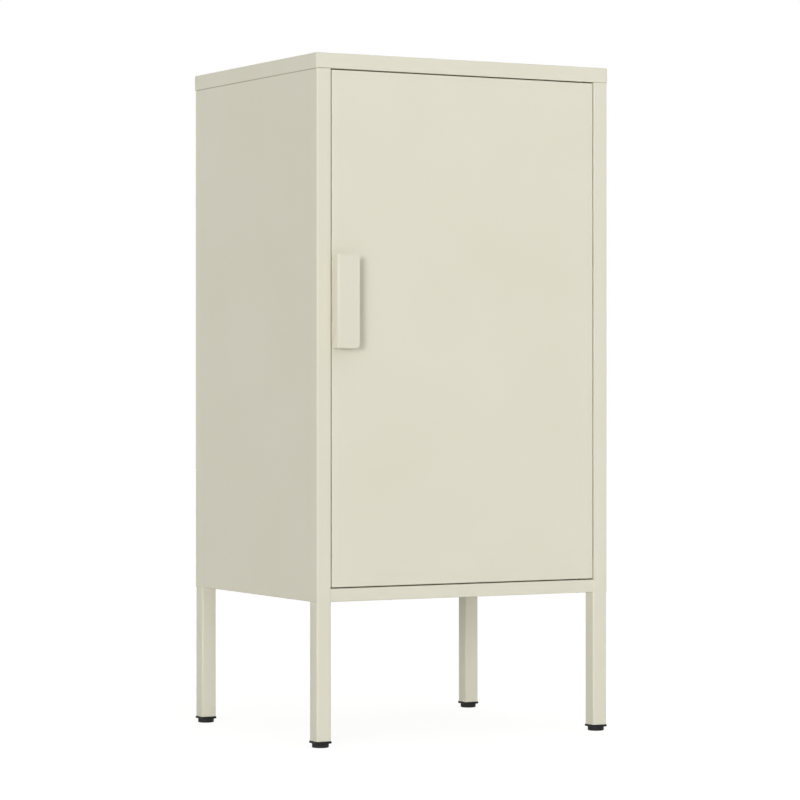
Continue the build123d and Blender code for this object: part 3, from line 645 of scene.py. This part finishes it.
class CABINET_OT_build_feet(Operator):
    """Turns the four round feet with the threaded studs that carry them"""

    bl_idname = "cabinet.build_feet"
    bl_label = "Build Screw Feet"

    def execute(self, context):
        hardware = context.scene.cabinet_hardware
        tip_taper = 1 * MM
        for corner in CORNERS:
            node = "screw_foot_" + corner
            low, high = (Vector(point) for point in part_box(node))
            plug_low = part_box("leg_plug_" + corner)[0][2]
            puck_height = plug_low - low.z
            bm = bmesh.new()
            turn_outline(bm, self.puck_outline(hardware, (high.x - low.x) / 2, puck_height))
            # The stud starts inside the foot
            stud = wind_thread(
                0.9 * puck_height, high.z - low.z, M8_RADIUS, hardware.coarse_pitch, tip_taper
            )
            add_copy(bm, stud, Matrix.Identity(4))
            stud.free()
            stand(bm, low, high)
            add_piece(
                context, "turned_foot_" + corner, bm, "moulded_polypropylene", "black_plastic",
                "foot_" + corner, node,
            )
        return {"FINISHED"}

    def puck_outline(self, hardware, radius, height):
        """Half section of a foot: recessed sole, round lower edge, straight side and round upper edge."""
        edge = hardware.foot_edge_radius
        rim = hardware.foot_rim_radius
        recess = hardware.foot_recess_depth
        # The sole is a ring that is one and a half times as wide as its recess is deep
        sole = radius - edge - 1.5 * recess
        return (
            [(0, recess), (sole - recess, recess), (sole, 0)]
            + arc_points((radius - edge, edge), edge, -90, 0, 6)
            + arc_points((radius - rim, height - rim), rim, 0, 90, 3)
            + [(0, height)]
        )


class CABINET_OT_build_plugs(Operator):
    """Moulds the four plugs: a square flange under each leg, a ribbed body in its tube and a bore"""

    bl_idname = "cabinet.build_plugs"
    bl_label = "Build Leg Plugs"

    def execute(self, context):
        edge = context.scene.cabinet_hardware.plug_edge_radius
        for corner in CORNERS:
            node = "leg_plug_" + corner
            low, high = (Vector(point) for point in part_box(node))
            flange_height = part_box("leg_" + corner)[0][2] - low.z
            bm = bmesh.new()
            places = self.plug_places((high.x - low.x) / 2, edge, flange_height, high.z - low.z)
            skin_loops(bm, SQUARED_SIDES, places)
            stand(bm, low, high)
            add_piece(
                context, "moulded_plug_" + corner, bm, "moulded_polypropylene", "black_plastic",
                "carcass", node,
            )
        return {"FINISHED"}

    def plug_places(self, half_width, edge, flange_height, height):
        """Loops from the bore's lower rim, out over the flange and up the body to the bore's upper rim."""
        flange = (
            arc_points((half_width - edge, edge), edge, -90, 0, 3)
            + arc_points((half_width - edge, flange_height - edge), edge, 0, 90, 3)
        )
        places = [round_place(M8_BORE_RADIUS, 0)]
        for reach, rise in flange:
            places.append(square_place(reach, PLUG_CORNER - half_width + reach, rise))
        # The body starts in the groove under its first rib
        places.append(square_place(PLUG_BODY - PLUG_RIB[0][1], PLUG_BODY_CORNER, flange_height))
        rib_pitch = (height - flange_height) / PLUG_RIBS
        for rib in range(PLUG_RIBS):
            rib_low = flange_height + rib * rib_pitch
            for share, inward in PLUG_RIB:
                places.append(
                    square_place(PLUG_BODY - inward, PLUG_BODY_CORNER, rib_low + share * rib_pitch)
                )
        places.append(square_place(PLUG_BODY - PLUG_LEAD_IN, PLUG_BODY_CORNER, height))
        places.append(round_place(M8_BORE_RADIUS, height))
        return places


class CABINET_OT_build_screws(Operator):
    """Makes the cross recessed pan head screws of the back, the pull and the catch"""

    bl_idname = "cabinet.build_screws"
    bl_label = "Build Screws"

    def execute(self, context):
        hardware = context.scene.cabinet_hardware
        self.build(context, "back_panel_screws", "carcass", BACKWARDS, BACK_SCREW, hardware.screw_pitch)
        self.build(context, "handle_screws", "door", BACKWARDS, HANDLE_SCREW, hardware.handle_pitch)
        self.build(context, "catch_screws", "carcass", DOWNWARDS, CATCH_SCREW, hardware.screw_pitch)
        return {"FINISHED"}

    def build(self, context, node, body, turn, sizes, pitch):
        """Puts a screw in place of each screw of a node, with its head at that screw's head end."""
        head_height = sizes[-1]
        screw = pan_screw(*sizes, pitch)
        bm = bmesh.new()
        for low, high in solid_boxes(node):
            seat = (low + high) / 2
            if turn is BACKWARDS:
                seat.y = high.y - head_height
            else:
                seat.z = low.z + head_height
            add_copy(bm, screw, Matrix.Translation(seat) @ turn)
        screw.free()
        add_piece(context, "pan_head_" + node, bm, "zinc_plated_steel", "zinc_steel", body, node)


class CABINET_OT_build_studs(Operator):
    """Threads the studs of the legs and the top, and makes their nuts"""

    bl_idname = "cabinet.build_studs"
    bl_label = "Build Studs and Nuts"

    def execute(self, context):
        hardware = context.scene.cabinet_hardware
        coarse = hardware.coarse_pitch
        fine = hardware.fine_pitch
        # The leg studs point up and the top's studs point down, so their tips are at opposite ends
        up_taper = 0.8 * MM
        down_taper = -0.5 * MM
        self.build(
            context, "threaded_", "leg_studs",
            lambda height: wind_thread(0, height, M8_RADIUS, coarse, up_taper),
        )
        self.build(
            context, "threaded_", "top_panel_studs",
            lambda height: wind_thread(0, height, M5_RADIUS, fine, down_taper),
        )
        self.build(
            context, "hexagon_", "leg_nuts",
            lambda height: hex_nut(M8_HALF_FLATS, height, M8_BORE_RADIUS),
        )
        self.build(
            context, "hexagon_", "top_panel_nuts",
            lambda height: hex_nut(M5_HALF_FLATS, height, M5_BORE_RADIUS),
        )
        return {"FINISHED"}

    def build(self, context, kind, node, make):
        """Puts a stud or a nut, made for the height that it has, in place of each one of a node."""
        bm = bmesh.new()
        for low, high in solid_boxes(node):
            part = make(high.z - low.z)
            middle = (low + high) / 2
            add_copy(bm, part, Matrix.Translation((middle.x, middle.y, low.z)))
            part.free()
        add_piece(context, kind + node, bm, "zinc_plated_steel", "zinc_steel", "carcass", node)


class CABINET_OT_build_door_stop(Operator):
    """Moulds the rubber stop that the door's lower return meets"""

    bl_idname = "cabinet.build_door_stop"
    bl_label = "Build Door Stop"

    def execute(self, context):
        crown = context.scene.cabinet_hardware.stop_crown
        low, high = (Vector(point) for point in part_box("door_stop"))
        radius = (high.x - low.x) / 2
        height = high.z - low.z
        # The stem goes through the floor of the cabinet, and is pointed a little at its lower end
        floor_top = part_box("bottom_panel")[1][2] - low.z
        stem_radius = 0.6 * radius
        point_radius = 0.8 * stem_radius
        point_height = 0.2 * floor_top
        chamfer = 0.3 * MM
        bm = bmesh.new()
        turn_outline(
            bm,
            [(0, 0), (point_radius, 0), (stem_radius, point_height), (stem_radius, floor_top)]
            + [(radius - chamfer, floor_top), (radius, floor_top + chamfer)]
            + arc_points((radius - crown, height - crown), crown, 0, 90, 8)
            + [(0, height)],
        )
        stand(bm, low, high)
        add_piece(context, "rubber_door_stop", bm, "moulded_rubber", "rubber", "carcass", "door_stop")
        return {"FINISHED"}


class CABINET_OT_build_studio(Operator):
    """Sets up the floor, the room with its soft lights, and the camera"""

    bl_idname = "cabinet.build_studio"
    bl_label = "Build Studio"

    def execute(self, context):
        studio = context.scene.cabinet_studio
        self.lay_floor(context, studio)
        self.light_room(context, studio)
        self.place_camera(context, studio)
        context.scene.view_settings.view_transform = "Standard"
        return {"FINISHED"}

    def lay_floor(self, context, studio):
        """A plain pale floor that keeps the cabinet's shadow."""
        bm = bmesh.new()
        bmesh.ops.create_circle(bm, cap_ends=True, radius=studio.floor_radius, segments=FLOOR_SIDES)
        mesh = bpy.data.meshes.new("studio_floor")
        bm.to_mesh(mesh)
        bm.free()
        floor = bpy.data.objects.new("studio_floor", mesh)
        context.scene.collection.objects.link(floor)
        material = bpy.data.materials.new("painted_floor")
        tree = empty_tree(material)
        diffuse = add_node(tree, "ShaderNodeBsdfDiffuse", values={"Color": studio.floor_colour})
        # The white that the open floor needs on top of what the lights give it
        lit = (1 - studio.floor_glow) * studio.floor_light * studio.floor_colour[0]
        missing = (1 - lit) / studio.floor_glow
        white = add_node(tree, "ShaderNodeEmission", values={"Strength": missing})
        share = add_node(
            tree, "ShaderNodeMath", {"operation": "MULTIPLY"}, {1: studio.floor_glow},
            {0: self.seen_directly(tree)},
        )
        mix = add_node(
            tree, "ShaderNodeMixShader",
            links={0: share.outputs[0], 1: diffuse.outputs["BSDF"], 2: white.outputs["Emission"]},
        )
        add_node(tree, "ShaderNodeOutputMaterial", links={"Surface": mix.outputs["Shader"]})
        mesh.materials.append(material)

    def light_room(self, context, studio):
        """Soft lights from several sides, and a white background for what the camera and gloss see."""
        world = bpy.data.worlds.new("studio_room")
        context.scene.world = world
        tree = empty_tree(world)
        direction = add_node(tree, "ShaderNodeTexCoord").outputs["Generated"]
        light = None
        for name, angles in SOFT_LIGHTS.items():
            light = self.add_soft_light(tree, direction, light, angles, getattr(studio, name + "_strength"))
        strength = add_node(
            tree, "ShaderNodeMapRange", values={"To Max": 1.0},
            links={"Value": self.seen_directly(tree), "To Min": light},
        )
        background = add_node(
            tree, "ShaderNodeBackground", values={"Color": (1, 1, 1, 1)},
            links={"Strength": strength.outputs["Result"]},
        )
        add_node(tree, "ShaderNodeOutputWorld", links={"Surface": background.outputs["Background"]})

    def add_soft_light(self, tree, direction, others, angles, strength):
        """Adds a light that falls off softly round its middle to the lights that are there."""
        side, height, reach = (math.radians(angle) for angle in angles)
        middle = (math.sin(side) * math.cos(height), -math.cos(side) * math.cos(height), math.sin(height))
        closeness = add_node(
            tree, "ShaderNodeVectorMath", {"operation": "DOT_PRODUCT"}, values={1: middle},
            links={0: direction},
        ).outputs["Value"]
        # The exponent is nought at the light's middle and minus one at its reach
        steepness = 1 / (1 - math.cos(reach))
        fall = add_node(
            tree, "ShaderNodeMath", {"operation": "MULTIPLY_ADD"}, {1: steepness, 2: -steepness},
            {0: closeness},
        ).outputs[0]
        level = add_node(tree, "ShaderNodeMath", {"operation": "EXPONENT"}, links={0: fall}).outputs[0]
        links = {0: level} if others is None else {0: level, 2: others}
        total = add_node(
            tree, "ShaderNodeMath", {"operation": "MULTIPLY_ADD"}, {1: strength, 2: 0.0}, links
        )
        return total.outputs[0]

    def seen_directly(self, tree):
        """One for what the camera sees, straight or by gloss or glass, and nought for all other light."""
        path = add_node(tree, "ShaderNodeLightPath").outputs
        seen = path["Is Camera Ray"]
        for kind in ("Is Glossy Ray", "Is Transmission Ray"):
            links = {0: seen, 1: path[kind]}
            seen = add_node(tree, "ShaderNodeMath", {"operation": "MAXIMUM"}, links=links).outputs[0]
        return seen

    def place_camera(self, context, studio):
        """A level camera at the angle of the reference view."""
        camera = bpy.data.cameras.new("camera")
        camera.lens = studio.camera_lens
        camera.sensor_width = studio.camera_sensor
        camera.shift_y = studio.camera_rise
        holder = bpy.data.objects.new("camera", camera)
        holder.location = studio.camera_place
        holder.rotation_euler = (math.radians(90), 0, studio.camera_turn)
        context.scene.collection.objects.link(holder)
        context.scene.camera = holder


class CABINET_PT_sidebar(Panel):
    """Lists the cabinet's steps, sizes and colours"""

    bl_idname = "CABINET_PT_sidebar"
    bl_label = "Cabinet"
    bl_space_type = "VIEW_3D"
    bl_region_type = "UI"
    bl_category = "Cabinet"

    def draw(self, context):
        layout = self.layout
        for operator in OPERATORS:
            layout.operator(operator.bl_idname)
        for group_name in PROPERTY_GROUPS:
            group = getattr(context.scene, group_name)
            box = layout.box()
            for name in group.bl_rna.properties.keys():
                if name not in ("rna_type", "name"):
                    box.prop(group, name)


PROPERTY_GROUPS = {
    "cabinet_finishes": CabinetFinishes,
    "cabinet_hardware": CabinetHardware,
    "cabinet_studio": CabinetStudio,
}
OPERATORS = (
    CABINET_OT_coat_panels,
    CABINET_OT_plate_fittings,
    CABINET_OT_build_feet,
    CABINET_OT_build_plugs,
    CABINET_OT_build_screws,
    CABINET_OT_build_studs,
    CABINET_OT_build_door_stop,
    CABINET_OT_build_studio,
)


def register():
    for name, group in PROPERTY_GROUPS.items():
        bpy.utils.register_class(group)
        setattr(bpy.types.Scene, name, PointerProperty(type=group))
    for operator in OPERATORS:
        bpy.utils.register_class(operator)
    bpy.utils.register_class(CABINET_PT_sidebar)


def unregister():
    bpy.utils.unregister_class(CABINET_PT_sidebar)
    for operator in reversed(OPERATORS):
        bpy.utils.unregister_class(operator)
    for name, group in PROPERTY_GROUPS.items():
        delattr(bpy.types.Scene, name)
        bpy.utils.unregister_class(group)


def main():
    """Registers the classes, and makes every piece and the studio."""
    register()
    bpy.ops.cabinet.coat_panels()
    bpy.ops.cabinet.plate_fittings()
    bpy.ops.cabinet.build_feet()
    bpy.ops.cabinet.build_plugs()
    bpy.ops.cabinet.build_screws()
    bpy.ops.cabinet.build_studs()
    bpy.ops.cabinet.build_door_stop()
    bpy.ops.cabinet.build_studio()


if __name__ == "__main__":
    main()
